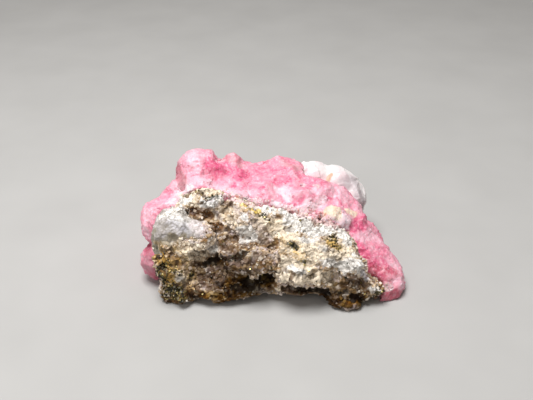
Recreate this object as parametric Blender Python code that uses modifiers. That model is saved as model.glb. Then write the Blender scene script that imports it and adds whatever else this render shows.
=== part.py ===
"""A hand specimen of rhodochrosite: a pink vein mass on its granular wall rock, with a milky quartz knob
at the back and a grey quartz swell on the front. Metres, +Z up, resting on z = 0, wall rock towards -Y."""

import math

import bmesh
import bpy
from mathutils import Euler, Matrix, Vector

# Driving size: every length below is laid out on a specimen 50 mm wide
WIDTH = 0.050
MM = WIDTH / 50.0

SEAM = 0.4 * MM            # gap between two minerals that grew against each other
VOXEL = 0.5 * MM           # cell that fuses the forms of one mineral into one skin
BURY = 60.0 * MM           # side of the block that takes off what lies below the resting plane

# Colour (linear RGB) and roughness of each mineral
LOOKS = {
    "rhodochrosite": ((0.78, 0.22, 0.31), 0.42),
    "matrix": ((0.33, 0.25, 0.17), 0.80),
    "quartz_knob": ((0.86, 0.80, 0.78), 0.45),
    "grey_quartz": ((0.62, 0.60, 0.58), 0.50),
}

# Triangles each mineral keeps before its neighbours are cut out of it
TRIANGLES = {"rhodochrosite": 3200, "matrix": 3150, "quartz_knob": 560, "grey_quartz": 380}

# Grain of each mineral's broken surface: (texture, size of a grain, height of the relief), in mm
GRAIN = {
    "rhodochrosite": [("CLOUDS", 4.5, 1.4), ("VORONOI", 2.6, 0.7)],
    "matrix": [("CLOUDS", 4.0, 1.8), ("VORONOI", 2.2, 1.2)],
    "quartz_knob": [("CLOUDS", 3.5, 0.8)],
    "grey_quartz": [("CLOUDS", 3.0, 0.9)],
}

# Angular blocks, each the corners of a convex solid in mm
RHODOCHROSITE_BLOCKS = {
    "plateau": [
        (-18, 10, 16.2), (-7, 11.5, 16.6), (6, 12, 14.8), (15.5, 10.5, 11), (-17, 1, 15.6), (-5, -1.5, 15.2),
        (5, -2, 13.8), (13.5, -2, 11.4), (-20, 9, 4), (-14, 13, 5), (8, 14.5, 4), (19, 9, 3),
        (-19, -4, 0.8), (-13, 8, -0.5), (8, 10, -0.5), (15, 3, -0.5), (12, -5, -0.5), (-15, -3, -0.5),
    ],
    "back left turret": [
        (-18.4, 9, 18.0), (-15.4, 9.6, 20.2), (-12.2, 9.6, 20.0), (-10.4, 9, 18.2), (-18.2, 5.4, 16.8),
        (-15, 4.6, 17.8), (-11.4, 4.8, 17.2), (-17.5, 12.5, 16.5), (-11.4, 12.8, 17), (-18.0, 8, 13.8),
        (-14, 12, 11), (-13, 6, 12),
    ],
    "left skyline corner": [
        (-7.5, 9.8, 19.5), (-10.6, 8.4, 17.6), (-3.8, 9.0, 16.9), (-6.4, 5.0, 16.6), (-7.5, 12.6, 15.5),
        (-9.5, 6, 14), (-4, 11, 14),
    ],
    "right skyline corner": [
        (1.2, 10.6, 18.0), (-3.6, 9.6, 16.6), (5.6, 10.6, 16.4), (0.6, 5.6, 15.6), (6, 6.6, 14.8),
        (1, 13.4, 14.5), (-3, 11, 13), (5, 12, 12),
    ],
    "right flank": [
        (13, 1, 12), (16.6, 8.6, 10.8), (19.2, 7.8, 7.2), (20.3, 3.2, 6.0), (22.6, -2.4, 3.6), (24.2, -6, 2.9),
        (24.6, -9.4, 2.6), (23.6, -11.4, -0.5), (19.6, -11.6, -0.5), (15.6, -8, 7.6), (14.4, -4, 10.6),
        (20.6, 7, 2.4), (24.2, -4, 1.2), (21, -8, -0.5), (18, 1, -0.5), (12, 4, 0), (13, -8, 1),
    ],
    "back ledge": [
        (-15, 14.4, 7.2), (-2, 15.0, 8.4), (1.5, 13.0, 9.4), (-13, 12.0, 9.8), (-14.5, 14.2, 3.6),
        (2.5, 14.8, 3), (-10, 11, 0.4), (2, 11, 0.2),
    ],
    "back corner": [
        (6.5, 14.8, 6.2), (13.5, 13.8, 5.4), (10, 12, 8.6), (6, 12, 2), (15, 12, 2), (9, 14.6, 2.6),
        (14, 12.6, 2.4),
    ],
    "step under the knob": [
        (3.4, 8.0, 15.6), (8.6, 8.2, 14.8), (14.0, 7.0, 13.0), (3.4, 1.4, 15.4), (13.2, 1.0, 13.0),
        (4, 0, 12), (13.6, -1, 11), (4, 7, 9), (14.6, 7, 8),
    ],
}

# Lumps, each (form, centre, size, turn) in mm and degrees
ROUND, BLOCK, RHOMB = "round", "block", "rhomb"

RHODOCHROSITE_LUMPS = [
    (ROUND, (-14.4, 8.6, 17.0), (8.0, 8.0, 5.6), (0, 0, 0)),    # rounded top of the turret
    (ROUND, (-16.2, 2.6, 13.4), (8.6, 8, 8), (0, -20, 0)),      # pale left shoulder
    (ROUND, (-20.6, -0.8, 9.6), (8.0, 10, 10.5), (0, 0, 15)),   # upper left lobe
    (ROUND, (-20.8, -4.0, 4.0), (7.4, 8.6, 7.8), (0, 0, -10)),  # lower left lobe
    (RHOMB, (-2.0, 1.6, 14.6), (6, 5, 4), (14, -8, 10)),        # crystals standing out of the top
    (RHOMB, (6.0, 1.0, 14.6), (4.6, 4.2, 4.2), (20, 6, 30)),
    (RHOMB, (9.6, 3.0, 14.4), (4.4, 4.4, 4.0), (8, 16, -20)),
    (RHOMB, (12.4, -1.0, 12.2), (4.4, 4.0, 4.4), (24, 20, 50)),
    (RHOMB, (3.4, 7.6, 15.6), (4.4, 4.4, 4.0), (6, 10, 12)),
    (RHOMB, (-5.4, -0.6, 14.8), (4.0, 4.0, 4.0), (26, -10, 65)),
    (RHOMB, (-12.8, 1.2, 16.0), (5.0, 4.4, 4.0), (16, 8, 35)),
    (RHOMB, (16.8, 0.6, 9.0), (4.0, 4.8, 4.0), (10, 44, 15)),
    (ROUND, (20.6, -6.0, 2.6), (7.5, 10, 6.4), (0, 20, -18)),   # lower right flank
    (ROUND, (22.4, -8.6, 1.8), (5.0, 6.0, 4.8), (0, 0, 0)),     # tip at the front right
]

MATRIX_BLOCKS = {
    "leaning slab": [
        (-15.6, -1.8, 16.8), (-10.4, -1.4, 16.8), (-3.6, -2.8, 15.2), (2.2, -3.6, 14.6), (8.4, -5.0, 13.4),
        (13.8, -6.4, 12.2), (16.4, -8.4, 9.4), (18, -10.4, 5.6), (12, -12.6, 1.6), (2, -12.2, 3.4),
        (-6, -12.4, 2), (-16, -12.2, 1.4), (-20.2, -8.8, 4), (-20, -7.6, 9), (-19.2, -6.6, 12.6),
        (-16, 1.5, 12), (8, 0, 9), (-17, -2, 2), (11, -5, 1),
    ],
}

MATRIX_LUMPS = [
    (ROUND, (-12.8, -2.2, 15.6), (8.4, 5.2, 4.4), (0, 0, 0)),      # crest at the upper left
    (ROUND, (-3.6, -4.8, 13.2), (10, 6, 4.6), (10, 10, 0)),        # crest, middle
    (ROUND, (-16.6, -10.0, 2.0), (8, 7.0, 6.0), (0, 0, 10)),       # foot at the left
    (ROUND, (-8.0, -10.6, 2.8), (13, 6, 5.2), (0, 0, 0)),          # lower left lip
    (ROUND, (-17.4, -9.6, 6.6), (7.4, 6, 8), (0, 0, 20)),          # rusty left end
    (ROUND, (-4.0, -10.8, 8.6), (11, 5, 4.4), (0, 8, 0)),          # brown swell, middle
    (ROUND, (4.4, -9.8, 10.4), (8, 6, 5), (0, 10, 0)),             # pale swell right of the middle
    (ROUND, (9.6, -10.0, 9.2), (9, 7, 5.6), (0, 16, -8)),          # pale swell at the right
    (ROUND, (14.6, -10.4, 7.4), (5.6, 5.6, 4.4), (0, 0, 0)),       # white swell by the right edge
    (BLOCK, (5.4, -11.6, 5.6), (12, 5, 3.4), (-14, 6, 4)),         # overhanging lip
    (ROUND, (13.4, -11.2, 2.6), (9, 6, 5.6), (0, 12, -8)),         # lower right ledge
    (ROUND, (13.6, -12.4, 1.2), (7.2, 4.8, 3.6), (0, 0, 0)),       # foot at the right
    (ROUND, (18.0, -11.0, 2.6), (5.0, 4.8, 4.2), (0, 0, 0)),       # end of the right ledge
]

QUARTZ_KNOB_LUMPS = [
    (ROUND, (8.3, 11.0, 13.0), (7.2, 6.6, 6.4), (0, 10, 0)),
    (ROUND, (13.4, 11.2, 11.4), (8.8, 7.0, 7.0), (0, 20, -8)),
    (ROUND, (16.5, 9.4, 8.6), (5.8, 7.0, 8.0), (0, 10, -20)),
    (ROUND, (12.0, 10.0, 10.4), (11.0, 7.0, 6.4), (0, 20, 0)),
]

GREY_QUARTZ_LUMPS = [
    (ROUND, (-16.8, -7.3, 12.3), (8.6, 6.0, 6.4), (-24, 4, 10)),
    (ROUND, (-13.2, -7.8, 11.8), (7.0, 5.2, 5.0), (-24, 10, 0)),
    (ROUND, (-18.9, -7.4, 9.8), (4.4, 5.2, 6.6), (0, 0, 20)),
    (ROUND, (-17.8, -5.4, 13.6), (6.0, 5.0, 4.8), (0, 0, 0)),
]

# Hollows in the pink vein, each (centre, size, turn)
RHODOCHROSITE_HOLLOWS = [
    ((-6.0, 4.6, 17.2), (6.4, 1.8, 2.0), (0, 0, 56)),          # groove running down from the saddle
    ((-10.0, 6.4, 18.8), (5.6, 5.0, 3.0), (0, 0, 0)),          # dish before the left skyline corner
    ((2.4, 2.2, 16.4), (13.0, 1.8, 1.8), (0, 6, -4)),          # step across the top
    ((12.6, 1.0, 13.8), (1.8, 7.0, 1.8), (0, 0, -30)),         # furrow down to the right flank
    ((-24.0, -3.2, 6.9), (5.0, 7.0, 1.8), (0, 0, 0)),          # notch between the left lobes
    ((19.4, -1.4, 6.2), (3.4, 5.0, 1.6), (0, 34, -20)),        # shallow scar on the right flank
    ((-6.0, 16.4, 4.4), (9.0, 5.0, 3.4), (0, 10, 0)),          # hollow under the back ledge
    ((-4.0, 2.0, -0.8), (20.0, 9.0, 3.6), (0, 0, 8)),          # hollows in the underside
    ((10.6, -1.6, -0.8), (7.0, 9.0, 3.2), (0, 0, 30)),
    ((-17.6, 4.6, 0.2), (8.0, 7.0, 3.4), (0, 0, 0)),
]

# Hollows in the wall rock's face, each (centre, size, turn)
MATRIX_HOLLOWS = [
    ((-9.0, -14.0, 10.0), (9.0, 5.0, 1.6), (0, -14, 0)),       # long dark crevice
    ((-1.0, -14.4, 5.2), (9.0, 5.0, 3.2), (0, -18, 0)),        # undercut below the middle
    ((3.0, -14.6, 0.6), (16.0, 8.0, 3.8), (0, 0, 0)),          # arch between the two feet
    ((-12.6, -6.0, 15.2), (6.4, 3.4, 1.8), (0, 12, 0)),        # brown hollow under the crest
    ((3.8, -13.0, 11.6), (2.2, 4.0, 1.8), (0, 0, 0)),          # small dark pit
    ((11.6, -12.8, 10.6), (2.8, 4.4, 2.8), (0, 0, 0)),         # larger pit at the right
    ((14.6, -14.2, 5.0), (5.0, 4.0, 1.8), (0, 10, 0)),         # slot above the right foot
]


def clear_scene():
    for old in list(bpy.data.objects):
        bpy.data.objects.remove(old)


def collection(name):
    made = bpy.data.collections.new(name)
    bpy.context.scene.collection.children.link(made)
    return made


def mesh_object(name, bm, home):
    mesh = bpy.data.meshes.new(name)
    bm.to_mesh(mesh)
    bm.free()
    obj = bpy.data.objects.new(name, mesh)
    home.objects.link(obj)
    return obj


def placed(centre, size, turn):
    """Matrix that stretches a unit form to size, turns it and puts it at centre."""
    turned = Euler([math.radians(angle) for angle in turn]).to_matrix().to_4x4()
    return Matrix.Translation(Vector(centre) * MM) @ turned @ Matrix.Diagonal((*(s * MM for s in size), 1))


def add_lump(bm, form, centre, size, turn):
    """A ball, a squared block, or a cleavage rhomb standing on one corner."""
    place = placed(centre, size, turn)
    if form == ROUND:
        bmesh.ops.create_icosphere(bm, subdivisions=3, radius=0.5, matrix=place)
        return
    if form == RHOMB:
        corner_up = Vector((1, 1, 1)).rotation_difference(Vector((0, 0, 1))).to_matrix().to_4x4()
        place = place @ Matrix.Diagonal((1, 1, 0.7, 1)) @ corner_up
    bmesh.ops.create_cube(bm, size=0.86, matrix=place)


def add_block(bm, corners):
    """The convex solid on a set of corners."""
    block = bmesh.new()
    for corner in corners:
        block.verts.new(Vector(corner) * MM)
    made = bmesh.ops.convex_hull(block, input=block.verts)
    inside = [item for item in made["geom_interior"] if isinstance(item, bmesh.types.BMVert)]
    bmesh.ops.delete(block, geom=inside, context="VERTS")
    bmesh.ops.recalc_face_normals(block, faces=block.faces)
    mesh = bpy.data.meshes.new("block")
    block.to_mesh(mesh)
    block.free()
    bm.from_mesh(mesh)
    bpy.data.meshes.remove(mesh)


def apply_modifiers(obj):
    """Gives the object the mesh that its modifiers make, and takes them off."""
    graph = bpy.context.evaluated_depsgraph_get()
    mesh = bpy.data.meshes.new_from_object(obj.evaluated_get(graph))
    obj.modifiers.clear()
    obj.data = mesh


def carve(obj, cutter):
    cut = obj.modifiers.new("cut " + cutter.name, "BOOLEAN")
    cut.operation = "DIFFERENCE"
    cut.solver = "EXACT"
    cut.object = cutter
    apply_modifiers(obj)


def grown(obj, cutters):
    """A cutter: the mineral's own shape, one seam larger all over."""
    cutter = obj.copy()
    cutter.data = obj.data.copy()
    cutter.name = obj.name + " seam"
    cutters.objects.link(cutter)
    swell = cutter.modifiers.new("seam", "DISPLACE")
    swell.mid_level = 0.0
    swell.strength = SEAM
    skin_over(cutter)
    thin_out(cutter, TRIANGLES[obj.name])
    hide_cutter(cutter)
    return cutter


def hide_cutter(cutter):
    cutter.hide_render = True
    cutter.display_type = "WIRE"


def keep_largest(obj):
    """Drops crumbs that a cut left beside the main body."""
    bm = bmesh.new()
    bm.from_mesh(obj.data)
    bm.faces.ensure_lookup_table()
    unseen = set(bm.faces)
    islands = []
    while unseen:
        island = {unseen.pop()}
        edge_of_island = list(island)
        while edge_of_island:
            face = edge_of_island.pop()
            near = {other for edge in face.edges for other in edge.link_faces} & unseen
            unseen -= near
            island |= near
            edge_of_island += near
        islands.append(island)
    largest = max(islands, key=len)
    crumbs = [face for island in islands if island is not largest for face in island]
    bmesh.ops.delete(bm, geom=crumbs, context="FACES")
    bm.to_mesh(obj.data)
    bm.free()


def skin_over(obj):
    """Fuses the forms into one closed skin, and rounds the joins a little."""
    skin = obj.modifiers.new("one skin", "REMESH")
    skin.mode = "VOXEL"
    skin.voxel_size = VOXEL
    soften = obj.modifiers.new("soften joins", "SMOOTH")
    soften.iterations = 2
    apply_modifiers(obj)


def roughen(obj, grain):
    """Gives the skin the relief of a broken surface."""
    for kind, size, height in grain:
        texture = bpy.data.textures.new(f"{obj.name} {kind.lower()}", kind)
        texture.noise_scale = size * MM
        relief = obj.modifiers.new(kind.lower(), "DISPLACE")
        relief.texture = texture
        relief.texture_coords = "LOCAL"
        relief.mid_level = 0.5
        relief.strength = height * MM
    apply_modifiers(obj)


def thin_out(obj, triangles):
    """Leaves about this many triangles, most of them where the surface bends."""
    faces = sum(len(face.vertices) - 2 for face in obj.data.polygons)
    fewer = obj.modifiers.new("thin out", "DECIMATE")
    fewer.ratio = triangles / faces
    apply_modifiers(obj)


def mineral(name, blocks, lumps, home):
    """One mineral as one skin over its blocks and lumps."""
    bm = bmesh.new()
    for corners in blocks.values():
        add_block(bm, corners)
    for lump in lumps:
        add_lump(bm, *lump)
    body = mesh_object(name, bm, home)
    skin_over(body)
    return body


def hollow_out(body, hollows, cutters):
    bm = bmesh.new()
    for centre, size, turn in hollows:
        add_lump(bm, ROUND, centre, size, turn)
    cutter = mesh_object(body.name + " hollows", bm, cutters)
    skin_over(cutter)
    hide_cutter(cutter)
    carve(body, cutter)
    skin_over(body)


def stand_on_origin(minerals):
    """Moves the specimen so that its box stands on the origin by the middle of its base."""
    points = [vert.co for obj in minerals for vert in obj.data.vertices]
    low = Vector([min(point[axis] for point in points) for axis in range(3)])
    high = Vector([max(point[axis] for point in points) for axis in range(3)])
    shift = Matrix.Translation((-(low.x + high.x) / 2, -(low.y + high.y) / 2, -low.z))
    for obj in minerals:
        obj.data.transform(shift)


def finish(obj):
    """The mineral's own material, and flat shading on its broken faces."""
    colour, roughness = LOOKS[obj.name]
    material = bpy.data.materials.new(obj.name)
    material.use_nodes = True
    shader = material.node_tree.nodes["Principled BSDF"]
    shader.inputs["Base Color"].default_value = (*colour, 1)
    shader.inputs["Roughness"].default_value = roughness
    obj.data.materials.clear()
    obj.data.materials.append(material)


def main():
    clear_scene()
    specimen = collection("rhodochrosite specimen")
    cutters = collection("cutters")

    rhodochrosite = mineral("rhodochrosite", RHODOCHROSITE_BLOCKS, RHODOCHROSITE_LUMPS, specimen)
    matrix = mineral("matrix", MATRIX_BLOCKS, MATRIX_LUMPS, specimen)
    knob = mineral("quartz_knob", {}, QUARTZ_KNOB_LUMPS, specimen)
    grey = mineral("grey_quartz", {}, GREY_QUARTZ_LUMPS, specimen)

    hollow_out(rhodochrosite, RHODOCHROSITE_HOLLOWS, cutters)
    hollow_out(matrix, MATRIX_HOLLOWS, cutters)

    minerals = (rhodochrosite, matrix, knob, grey)
    for obj in minerals:
        roughen(obj, GRAIN[obj.name])
        thin_out(obj, TRIANGLES[obj.name])

    carve(matrix, grown(grey, cutters))
    carve(rhodochrosite, grown(matrix, cutters))
    carve(rhodochrosite, grown(grey, cutters))
    carve(rhodochrosite, grown(knob, cutters))

    bm = bmesh.new()
    bmesh.ops.create_cube(bm, size=BURY, matrix=Matrix.Translation((0, 0, -BURY / 2)))
    below = mesh_object("below the resting plane", bm, cutters)
    hide_cutter(below)
    for obj in minerals:
        carve(obj, below)
        keep_largest(obj)
        finish(obj)
    stand_on_origin(minerals)


main()
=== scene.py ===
# A hand specimen of rhodochrosite on its wall rock. Each of its four minerals is a fine skin over the packed
# solid: rounded off, painted in layers and broken into grains. All but the knob bear small crystals.
import math

import bpy
import numpy as np
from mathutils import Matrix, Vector, noise
from mathutils.bvhtree import BVHTree
from mathutils.kdtree import KDTree


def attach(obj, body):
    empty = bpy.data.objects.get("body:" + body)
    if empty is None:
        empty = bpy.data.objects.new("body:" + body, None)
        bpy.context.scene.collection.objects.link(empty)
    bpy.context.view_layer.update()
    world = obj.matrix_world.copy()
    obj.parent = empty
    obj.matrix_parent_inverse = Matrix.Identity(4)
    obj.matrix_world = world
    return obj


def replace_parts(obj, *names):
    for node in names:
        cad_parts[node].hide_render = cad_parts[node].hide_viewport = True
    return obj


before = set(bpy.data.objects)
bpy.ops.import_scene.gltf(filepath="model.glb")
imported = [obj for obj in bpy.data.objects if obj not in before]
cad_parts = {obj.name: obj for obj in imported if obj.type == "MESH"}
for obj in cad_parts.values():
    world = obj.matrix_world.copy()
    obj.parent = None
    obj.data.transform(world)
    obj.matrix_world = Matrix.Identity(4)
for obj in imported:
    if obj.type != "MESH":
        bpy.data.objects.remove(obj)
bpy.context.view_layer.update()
mm = 0.001
noise.seed_set(7)                   # the noise that frays the strokes of paint


# Camera: the photograph's angle. The strokes further down are placed by the pixels that they cover in it.
photoCamera = {
    "lens": 50.0,                    # mm
    "sensor": 36.0,                  # mm
    "elevation": 32.0,               # degrees above the floor
    "distance": 140.0,               # mm from the point that it looks at
    "lookAt": (-1.0, 1.5, 13.5),     # mm
    "picture": (533, 400),           # pixels
}
tilt = math.radians(photoCamera["elevation"])
cameraRight = Vector((1, 0, 0))
cameraUp = Vector((0, math.sin(tilt), math.cos(tilt)))
cameraAhead = Vector((0, math.cos(tilt), -math.sin(tilt)))
cameraPlace = Vector(photoCamera["lookAt"]) * mm - cameraAhead * photoCamera["distance"] * mm

bpy.ops.object.camera_add(location=cameraPlace, rotation=(math.pi / 2 - tilt, 0, 0))
cameraObject = bpy.context.object
cameraObject.data.lens = photoCamera["lens"]
cameraObject.data.sensor_width = photoCamera["sensor"]
cameraObject.data.clip_start = 1 * mm
bpy.context.scene.camera = cameraObject


def sightLine(u, v):
    # the ray that leaves the camera through a pixel of the photograph
    width, height = photoCamera["picture"]
    focal = width * photoCamera["lens"] / photoCamera["sensor"]
    ray = cameraAhead * focal + cameraRight * (u - width / 2) - cameraUp * (v - height / 2)
    return cameraPlace, ray.normalized()


# Tools for shaping
def pickOnly(piece):
    bpy.ops.object.select_all(action="DESELECT")
    piece.select_set(True)
    bpy.context.view_layer.objects.active = piece


def inEditMode(piece, *steps):
    # each step of mesh work is done on the whole of the piece
    pickOnly(piece)
    bpy.ops.object.mode_set(mode="EDIT")
    for step in steps:
        bpy.ops.mesh.select_all(action="SELECT")
        step()
    bpy.ops.object.mode_set(mode="OBJECT")


def roughened(offset, seed):
    # a step that pushes the points about at random
    return lambda: bpy.ops.transform.vertex_random(offset=offset, seed=seed)


def finishWith(piece, kind, **settings):
    # one modifier, applied
    modifier = piece.modifiers.new(kind.lower(), kind)
    for name, value in settings.items():
        setattr(modifier, name, value)
    pickOnly(piece)
    bpy.ops.object.modifier_apply(modifier=modifier.name)


def relief(piece, pattern, size, height, **look):
    # size is the pattern's grain and height its full relief, in mm; a negative height makes cells into lumps
    grain = bpy.data.textures.new(piece.name + pattern.lower(), pattern)
    grain.noise_scale = size * mm
    for name, value in look.items():
        setattr(grain, name, value)
    finishWith(piece, "DISPLACE", texture=grain, texture_coords="LOCAL", mid_level=0.5, strength=height * mm)
    bpy.data.textures.remove(grain)


def surfaceOf(*pieces):
    # the pieces as one surface, for sight lines to land on
    points, faces = [], []
    for piece in pieces:
        start = len(points)
        points += [vertex.co for vertex in piece.data.vertices]
        faces += [[start + index for index in face.vertices] for face in piece.data.polygons]
    return BVHTree.FromPolygons(points, faces)


def joinTo(piece, part):
    pickOnly(piece)
    part.select_set(True)
    bpy.ops.object.join()


def addBlock(piece, corners):
    # a sharp block of crystal, the hull of its corners in mm, sunk into the piece and joined to it
    block = bpy.data.objects.new("block", bpy.data.meshes.new("block"))
    bpy.context.scene.collection.objects.link(block)
    block.data.from_pydata([Vector(corner) * mm for corner in corners], [], [])
    inEditMode(block, bpy.ops.mesh.convex_hull)
    joinTo(piece, block)


def addBulge(piece, surface, u, v, radius, sink):
    # a lump of a radius in mm on what lies under a pixel of the photograph, sunk by a share of its radius
    hit, normal, *rest = surface.ray_cast(*sightLine(u, v))
    if hit:
        middle = hit - normal * radius * sink * mm
        bpy.ops.mesh.primitive_ico_sphere_add(subdivisions=2, radius=radius * mm, location=middle)
        bulge = bpy.context.object
        inEditMode(bulge, roughened(offset=0.2 * radius * mm, seed=int(u + v)))
        joinTo(piece, bulge)


# Tools for points and layers
def readPoints(piece, field="co"):
    values = np.empty(len(piece.data.vertices) * 3, np.float32)
    piece.data.vertices.foreach_get(field, values)
    return values.reshape(-1, 3).astype(float)


def readNormals(piece):
    return readPoints(piece, "normal")


def writePoints(piece, points):
    piece.data.vertices.foreach_set("co", points.astype(np.float32).ravel())
    piece.data.update()


def standOnFloor(piece):
    points = readPoints(piece)
    points[:, 2] = np.maximum(points[:, 2], 0.0)
    writePoints(piece, points)


def writeLayer(piece, name, values):
    layer = piece.data.attributes.get(name) or piece.data.attributes.new(name, "FLOAT", "POINT")
    layer.data.foreach_set("value", np.asarray(values, np.float32))


def readLayer(piece, name):
    values = np.empty(len(piece.data.vertices), np.float32)
    piece.data.attributes[name].data.foreach_get("value", values)
    return values


def unit(vectors):
    return vectors / np.maximum(np.linalg.norm(vectors, axis=-1, keepdims=True), 1e-12)


# Tools for painting
strokeFirmness = 1.7      # at 1.7 a stroke keeps its full strength over the inner 0.4 of its reach


def wobbled(piece, grain, throw):
    # the points pushed about along the skin by noise, so that a painted edge wanders
    points, normals = readPoints(piece), readNormals(piece)
    pushes = np.array([noise.noise_vector(Vector(point) / (grain * mm)) for point in points.tolist()])
    pushes -= normals * (pushes * normals).sum(axis=1)[:, None]
    return points + pushes * throw * mm


def dotsAlong(pixels):
    # a stroke's pixels, filled in to one every other pixel
    dots = [pixels[0]]
    for (u, v), (nextU, nextV) in zip(pixels, pixels[1:]):
        steps = max(1, round(math.hypot(nextU - u, nextV - v) / 2))
        dots += [(u + (nextU - u) * k / steps, v + (nextV - v) * k / steps) for k in range(1, steps + 1)]
    return dots


def paint(piece, points, surface, layers):
    # each layer is a list of strokes: reach in mm, strength, then the pixels that it runs through
    for name, strokes in layers.items():
        covered = np.zeros(len(points))
        for reach, strength, *pixels in strokes:
            hits = [surface.ray_cast(*sightLine(u, v))[0] for u, v in dotsAlong(pixels)]
            path = np.array([hit for hit in hits if hit])
            if len(path):
                inside = (points > path.min(0) - reach * mm) & (points < path.max(0) + reach * mm)
                near = np.nonzero(inside.all(axis=1))[0]
                away = np.linalg.norm(points[near][:, None] - path[None], axis=2).min(axis=1)
                cover = strength * np.clip(strokeFirmness * (1 - away / (reach * mm)), 0, 1)
                covered[near] = np.maximum(covered[near], cover)
        writeLayer(piece, name, covered)


def pressIn(piece, depths):
    # sinks the skin by a layer's strength times a depth in mm; a negative depth fills it out
    points, normals = readPoints(piece), readNormals(piece)
    for name, depth in depths.items():
        points -= normals * (readLayer(piece, name) * depth * mm)[:, None]
    writePoints(piece, points)


# Tools for skins
def skinOf(nodeName, pieceName, recipe, layers):
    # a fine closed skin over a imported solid, its facets rounded off and grown over the seam, then painted
    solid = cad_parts[nodeName]
    piece = bpy.data.objects.new(pieceName, solid.data.copy())
    piece.data.name = pieceName
    bpy.context.scene.collection.objects.link(piece)
    inEditMode(piece, lambda: bpy.ops.mesh.remove_doubles(threshold=0.001 * mm))
    piece.data.materials.clear()
    finishWith(piece, "REMESH", mode="VOXEL", voxel_size=recipe["roundingCell"] * mm)
    finishWith(piece, "SMOOTH", factor=0.5, iterations=recipe["rounding"])
    finishWith(piece, "DISPLACE", mid_level=0.0, strength=recipe["growth"] * mm)
    relief(piece, "CLOUDS", **recipe["lumps"])
    for corners in recipe.get("blocks", {}).values():
        addBlock(piece, corners)
    if "bulges" in recipe:
        surface = surfaceOf(*[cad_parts[name] for name in recipe["bulgesOn"]])
        for bulge in sum(recipe["bulges"].values(), []):
            addBulge(piece, surface, *bulge)
    finishWith(piece, "REMESH", mode="VOXEL", voxel_size=recipe["skinCell"] * mm)
    finishWith(piece, "SMOOTH", factor=0.5, iterations=2)
    pickOnly(piece)
    bpy.ops.object.shade_smooth()
    surface = BVHTree.FromObject(piece, bpy.context.evaluated_depsgraph_get())
    paint(piece, wobbled(piece, *recipe["wander"]), surface, layers)
    return piece


def cellMean(values, owner, count):
    sums = np.zeros((count, 3))
    np.add.at(sums, owner, values)
    return sums / np.maximum(np.bincount(owner, minlength=count), 1)[:, None]


def randomTurns(chance, count):
    # random rotation matrices
    a, b, c, d = unit(chance.normal(size=(count, 4))).T
    return np.array([[1 - 2 * (c * c + d * d), 2 * (b * c - d * a), 2 * (b * d + c * a)],
                     [2 * (b * c + d * a), 1 - 2 * (b * b + d * d), 2 * (c * d - b * a)],
                     [2 * (b * d - c * a), 2 * (c * d + b * a), 1 - 2 * (b * b + c * c)]]).transpose(2, 0, 1)


cleavageSlope = 43.4      # degrees from a rhomb's axis to the normal of each of its faces


def granulate(piece, recipe, grainName):
    # breaks the skin into cells, each pressed towards a flat face of its own, cracked along their borders
    grain = recipe[grainName]
    chance = np.random.default_rng(grain["seed"])
    points, normals = readPoints(piece), readNormals(piece)
    size = grain["size"] * mm
    count = int(len(points) * (recipe["skinCell"] * mm) ** 2 / size ** 2)
    bedded = points * (1, 1, grain.get("stretch", 1))      # cells lie flat where they are stretched
    tree = KDTree(count)
    for index, place in enumerate(chance.choice(len(points), count, replace=False)):
        tree.insert(bedded[place], index)
    tree.balance()
    owner, edge = np.empty(len(points), int), np.empty(len(points))
    for index, point in enumerate(bedded):
        near, second = tree.find_n(point, 2)
        owner[index] = near[1]
        edge[index] = second[2] - near[2]
    middle, facing = cellMean(points, owner, count), unit(cellMean(normals, owner, count))
    if "crystals" in grain:
        # rhombs break along three planes at 73 degrees to each other, turned alike all through one crystal
        across, along = math.sin(math.radians(cleavageSlope)), math.cos(math.radians(cleavageSlope))
        ways = [math.radians(way) for way in (0, 120, 240)]
        planes = np.array([[across * math.cos(way), across * math.sin(way), along] for way in ways])
        hearts = points[chance.choice(len(points), grain["crystals"], replace=False)]
        turns = randomTurns(chance, grain["crystals"])
        home = np.linalg.norm(middle[:, None] - hearts[None], axis=2).argmin(axis=1)
        choices = np.einsum("nij,kj->nki", turns[home], np.vstack([planes, -planes]))
        best = np.einsum("nki,ni->nk", choices, facing).argmax(axis=1)
        cleavage = grain["cleavage"]
        facing = unit(facing * (1 - cleavage) + choices[np.arange(count), best] * cleavage)
    facing = unit(facing + chance.normal(size=(count, 3)) * grain["tilt"])
    away = ((points - middle[owner]) * facing[owner]).sum(axis=1)
    lift = chance.uniform(-1, 1, count)[owner] * grain["step"] * mm
    gap = np.clip(1 - edge / (grain["crackWidth"] * size), 0, 1)
    if "crisp" in piece.data.attributes:
        away, lift = away * (1 - readLayer(piece, "crisp")), lift * (1 - readLayer(piece, "crisp"))
    farthest = 0.35 * size      # no point moves farther than this towards its cell's face
    points += facing[owner] * (lift - np.clip(away, -farthest, farthest) * grain["flat"])[:, None]
    points -= normals * (gap * grain["crack"] * mm)[:, None]
    writePoints(piece, points)
    return chance.uniform(0, 1, count)[owner], gap


def finishGrains(piece, recipe, base, coarse, fine):
    # the grains' tones and gaps as layers, the finest relief, and how far each point now stands off its base
    (coarseTone, coarseGap), (fineTone, fineGap), share = coarse, fine, recipe["coarseShare"]
    writeLayer(piece, "tone", share * coarseTone + (1 - share) * fineTone)
    writeLayer(piece, "gap", np.maximum(coarseGap * recipe["coarseGap"], fineGap))
    for rough in recipe["roughness"]:
        relief(piece, **rough)
    height = ((readPoints(piece) - base) * readNormals(piece)).sum(axis=1) / (recipe["reliefSpan"] * mm)
    writeLayer(piece, "relief", np.clip(height, -1, 1))


# Tools for small crystals
floorGap = 1.0      # mm above the floor where no crystal is sown
tipRelief = 1.6     # how strongly a crystal's own height counts as relief


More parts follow.
